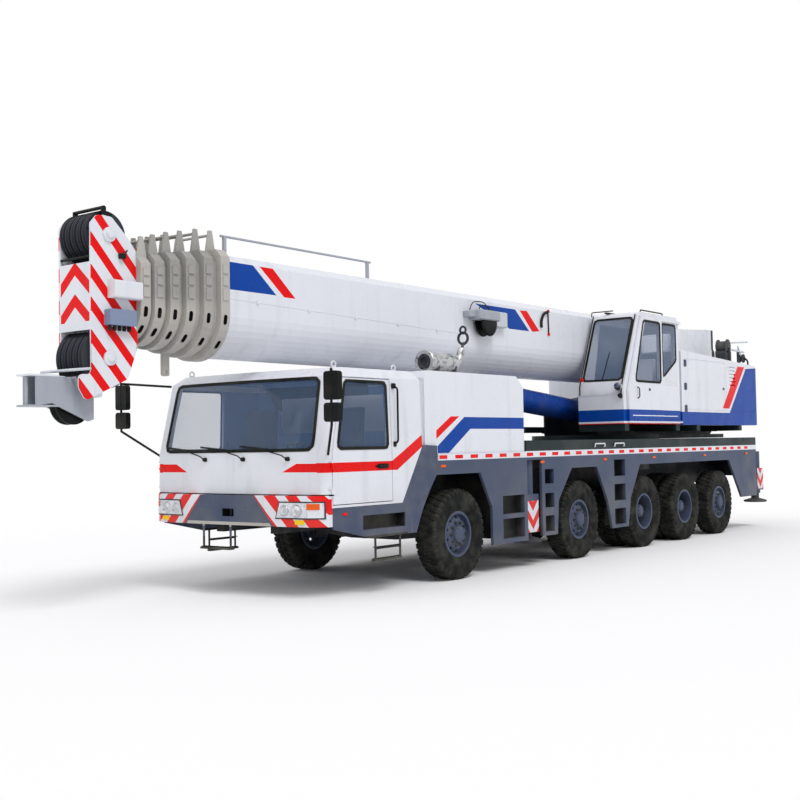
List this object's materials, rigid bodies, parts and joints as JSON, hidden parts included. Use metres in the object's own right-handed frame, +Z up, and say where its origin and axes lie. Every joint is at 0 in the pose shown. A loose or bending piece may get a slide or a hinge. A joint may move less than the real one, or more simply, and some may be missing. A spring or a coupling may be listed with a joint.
{
  "type": "five-axle telescopic truck crane",
  "caption": "Mobile crane: road carrier with cab, outriggers and slewing upper works that carry a luffing telescopic boom.",
  "frame": {"origin": "on the ground, under the middle of the overall box", "axes": "+X forward along the boom, +Y to the driver's left, +Z up"},
  "size_m": [15.5999, 3.6, 4.1298],
  "materials": {
    "tyre": "matt black rubber with a cut tread",
    "rim_paint": "slate grey paint on pressed steel rims",
    "cast_metal": "dark painted castings and springs",
    "chassis_paint": "slate blue-grey gloss paint, dusty below",
    "white_paint": "white gloss paint with red and blue bands",
    "dark_plastic": "black moulded plastic",
    "seat_trim": "dark grey seat cloth and dash moulding",
    "silencer_metal": "bright aluminised steel",
    "glass": "clear blue-tinted glass",
    "cylinder_blue": "blue gloss paint",
    "rod_chrome": "hard chrome",
    "boom_paint": "white gloss paint with grey collars"
  },
  "bodies": {
    "chassis": {"chassis_frame": "chassis_paint", "running_gear": "cast_metal", "deck": "chassis_paint", "engine_cover": "white_paint", "silencer": "silencer_metal", "cab_shell": "white_paint", "cab_glass": "glass", "cab_interior": "seat_trim", "bumper": "chassis_paint", "mirrors": "dark_plastic"},
    "wheel_1_left": {"tyre_1_left": "tyre", "rim_1_left": "rim_paint"},
    "knuckle_1_left": {"knuckle_1_left": "cast_metal"},
    "wheel_1_right": {"tyre_1_right": "tyre", "rim_1_right": "rim_paint"},
    "knuckle_1_right": {"knuckle_1_right": "cast_metal"},
    "wheel_2_left": {"tyre_2_left": "tyre", "rim_2_left": "rim_paint"},
    "knuckle_2_left": {"knuckle_2_left": "cast_metal"},
    "wheel_2_right": {"tyre_2_right": "tyre", "rim_2_right": "rim_paint"},
    "knuckle_2_right": {"knuckle_2_right": "cast_metal"},
    "wheel_3_left": {"tyre_3_left": "tyre", "rim_3_left": "rim_paint"},
    "wheel_3_right": {"tyre_3_right": "tyre", "rim_3_right": "rim_paint"},
    "wheel_4_left": {"tyre_4_left": "tyre", "rim_4_left": "rim_paint"},
    "wheel_4_right": {"tyre_4_right": "tyre", "rim_4_right": "rim_paint"},
    "wheel_5_left": {"tyre_5_left": "tyre", "rim_5_left": "rim_paint"},
    "knuckle_5_left": {"knuckle_5_left": "cast_metal"},
    "wheel_5_right": {"tyre_5_right": "tyre", "rim_5_right": "rim_paint"},
    "knuckle_5_right": {"knuckle_5_right": "cast_metal"},
    "door_left": {"door_left": "white_paint"},
    "door_right": {"door_right": "white_paint"},
    "outrigger_front_left": {"outrigger_front_left": "chassis_paint"},
    "jack_front_left": {"jack_front_left": "cast_metal"},
    "outrigger_front_right": {"outrigger_front_right": "chassis_paint"},
    "jack_front_right": {"jack_front_right": "cast_metal"},
    "outrigger_rear_left": {"outrigger_rear_left": "chassis_paint"},
    "jack_rear_left": {"jack_rear_left": "cast_metal"},
    "outrigger_rear_right": {"outrigger_rear_right": "chassis_paint"},
    "jack_rear_right": {"jack_rear_right": "cast_metal"},
    "superstructure": {"turntable": "chassis_paint", "winch": "cast_metal", "machinery_housing": "white_paint", "operator_cab": "white_paint", "operator_cab_glass": "glass"},
    "operator_door": {"operator_door": "white_paint"},
    "boom_1": {"boom_1": "boom_paint"},
    "boom_2": {"boom_2": "boom_paint"},
    "boom_3": {"boom_3": "boom_paint"},
    "boom_4": {"boom_4": "boom_paint"},
    "boom_5": {"boom_5": "boom_paint"},
    "boom_6": {"boom_6": "boom_paint"},
    "luff_cylinder": {"luff_barrel": "cylinder_blue"},
    "luff_rod": {"luff_rod": "rod_chrome"}
  },
  "joints": [
    {"name": "steer_1_left", "type": "hinge", "parent": "chassis", "child": "knuckle_1_left", "pos_m": [2.5, 0.985, 0.5625], "axis": [0, 0, 1], "range_deg": [-30, 30]},
    {"name": "roll_1_left", "type": "hinge", "parent": "knuckle_1_left", "child": "wheel_1_left", "pos_m": [2.5, 1.195, 0.5625], "axis": [0, 1, 0], "continuous": true},
    {"name": "steer_1_right", "type": "hinge", "parent": "chassis", "child": "knuckle_1_right", "pos_m": [2.5, -0.985, 0.5625], "axis": [0, 0, 1], "range_deg": [-30.05, 30.05]},
    {"name": "roll_1_right", "type": "hinge", "parent": "knuckle_1_right", "child": "wheel_1_right", "pos_m": [2.5, -1.195, 0.5625], "axis": [0, 1, 0], "continuous": true},
    {"name": "steer_2_left", "type": "hinge", "parent": "chassis", "child": "knuckle_2_left", "pos_m": [-0.54, 0.985, 0.5625], "axis": [0, 0, 1], "range_deg": [-14.59, 14.59]},
    {"name": "roll_2_left", "type": "hinge", "parent": "knuckle_2_left", "child": "wheel_2_left", "pos_m": [-0.54, 1.195, 0.5625], "axis": [0, 1, 0], "continuous": true},
    {"name": "steer_2_right", "type": "hinge", "parent": "chassis", "child": "knuckle_2_right", "pos_m": [-0.54, -0.985, 0.5625], "axis": [0, 0, 1], "range_deg": [-14.59, 14.59]},
    {"name": "roll_2_right", "type": "hinge", "parent": "knuckle_2_right", "child": "wheel_2_right", "pos_m": [-0.54, -1.195, 0.5625], "axis": [0, 1, 0], "continuous": true},
    {"name": "roll_3_left", "type": "hinge", "parent": "chassis", "child": "wheel_3_left", "pos_m": [-2.64, 1.195, 0.5625], "axis": [0, 1, 0], "continuous": true},
    {"name": "roll_3_right", "type": "hinge", "parent": "chassis", "child": "wheel_3_right", "pos_m": [-2.64, -1.195, 0.5625], "axis": [0, 1, 0], "continuous": true},
    {"name": "roll_4_left", "type": "hinge", "parent": "chassis", "child": "wheel_4_left", "pos_m": [-4.16, 1.195, 0.5625], "axis": [0, 1, 0], "continuous": true},
    {"name": "roll_4_right", "type": "hinge", "parent": "chassis", "child": "wheel_4_right", "pos_m": [-4.16, -1.195, 0.5625], "axis": [0, 1, 0], "continuous": true},
    {"name": "steer_5_left", "type": "hinge", "parent": "chassis", "child": "knuckle_5_left", "pos_m": [-5.62, 0.985, 0.5625], "axis": [0, 0, 1], "range_deg": [-11.34, 11.34]},
    {"name": "roll_5_left", "type": "hinge", "parent": "knuckle_5_left", "child": "wheel_5_left", "pos_m": [-5.62, 1.195, 0.5625], "axis": [0, 1, 0], "continuous": true},
    {"name": "steer_5_right", "type": "hinge", "parent": "chassis", "child": "knuckle_5_right", "pos_m": [-5.62, -0.985, 0.5625], "axis": [0, 0, 1], "range_deg": [-11.34, 11.34]},
    {"name": "roll_5_right", "type": "hinge", "parent": "knuckle_5_right", "child": "wheel_5_right", "pos_m": [-5.62, -1.195, 0.5625], "axis": [0, 1, 0], "continuous": true},
    {"name": "door_left_swing", "type": "hinge", "parent": "chassis", "child": "door_left", "pos_m": [4.925, 1.389, 1.5], "axis": [0, 0, -1], "range_deg": [0, 70]},
    {"name": "door_right_swing", "type": "hinge", "parent": "chassis", "child": "door_right", "pos_m": [4.925, -1.389, 1.5], "axis": [0, 0, 1], "range_deg": [0, 70]},
    {"name": "beam_front_left_out", "type": "slide", "parent": "chassis", "child": "outrigger_front_left", "axis": [0, 1, 0], "range_m": [0, 1.75]},
    {"name": "jack_front_left_down", "type": "slide", "parent": "outrigger_front_left", "child": "jack_front_left", "axis": [0, 0, -1], "range_m": [0, 0.55]},
    {"name": "beam_front_right_out", "type": "slide", "parent": "chassis", "child": "outrigger_front_right", "axis": [0, -1, 0], "range_m": [0, 1.75]},
    {"name": "jack_front_right_down", "type": "slide", "parent": "outrigger_front_right", "child": "jack_front_right", "axis": [0, 0, -1], "range_m": [0, 0.55]},
    {"name": "beam_rear_left_out", "type": "slide", "parent": "chassis", "child": "outrigger_rear_left", "axis": [0, 1, 0], "range_m": [0, 1.75]},
    {"name": "jack_rear_left_down", "type": "slide", "parent": "outrigger_rear_left", "child": "jack_rear_left", "axis": [0, 0, -1], "range_m": [0, 0.55]},
    {"name": "beam_rear_right_out", "type": "slide", "parent": "chassis", "child": "outrigger_rear_right", "axis": [0, -1, 0], "range_m": [0, 1.75]},
    {"name": "jack_rear_right_down", "type": "slide", "parent": "outrigger_rear_right", "child": "jack_rear_right", "axis": [0, 0, -1], "range_m": [0, 0.55]},
    {"name": "slew", "type": "hinge", "parent": "chassis", "child": "superstructure", "pos_m": [-3.5, 0, 1.66], "axis": [0, 0, 1], "continuous": true},
    {"name": "operator_door_slide", "type": "slide", "parent": "superstructure", "child": "operator_door", "axis": [-1, 0, 0], "range_m": [0, 0.73]},
    {"name": "boom_luff", "type": "hinge", "parent": "superstructure", "child": "boom_1", "pos_m": [-6.25, 0, 3.25], "axis": [0, -1, 0], "range_deg": [0, 80]},
    {"name": "telescope_2", "type": "slide", "parent": "boom_1", "child": "boom_2", "axis": [1, 0, 0], "range_m": [0, 9]},
    {"name": "telescope_3", "type": "slide", "parent": "boom_2", "child": "boom_3", "axis": [1, 0, 0], "range_m": [0, 9]},
    {"name": "telescope_4", "type": "slide", "parent": "boom_3", "child": "boom_4", "axis": [1, 0, 0], "range_m": [0, 9]},
    {"name": "telescope_5", "type": "slide", "parent": "boom_4", "child": "boom_5", "axis": [1, 0, 0], "range_m": [0, 9]},
    {"name": "telescope_6", "type": "slide", "parent": "boom_5", "child": "boom_6", "axis": [1, 0, 0], "range_m": [0, 9]},
    {"name": "cylinder_tilt", "type": "hinge", "parent": "superstructure", "child": "luff_cylinder", "pos_m": [-3.85, 0, 2.11], "axis": [0, -1, 0], "range_deg": [0, 88.57]},
    {"name": "rod_stroke", "type": "slide", "parent": "luff_cylinder", "child": "luff_rod", "axis": [0.9962, 0, 0.0873], "range_m": [0, 3.308]}
  ],
  "couplings": [
    {"joint": "steer_1_right", "follows": "steer_1_left", "ratio": 1},
    {"joint": "steer_2_left", "follows": "steer_1_left", "ratio": 0.4847},
    {"joint": "steer_2_right", "follows": "steer_1_left", "ratio": 0.4847},
    {"joint": "steer_5_left", "follows": "steer_1_left", "ratio": -0.3763},
    {"joint": "steer_5_right", "follows": "steer_1_left", "ratio": -0.3763},
    {"joint": "cylinder_tilt", "follows": "boom_luff", "ratio": 1.1059},
    {"joint": "rod_stroke", "follows": "boom_luff", "m_per_rad": 2.3656}
  ]
}
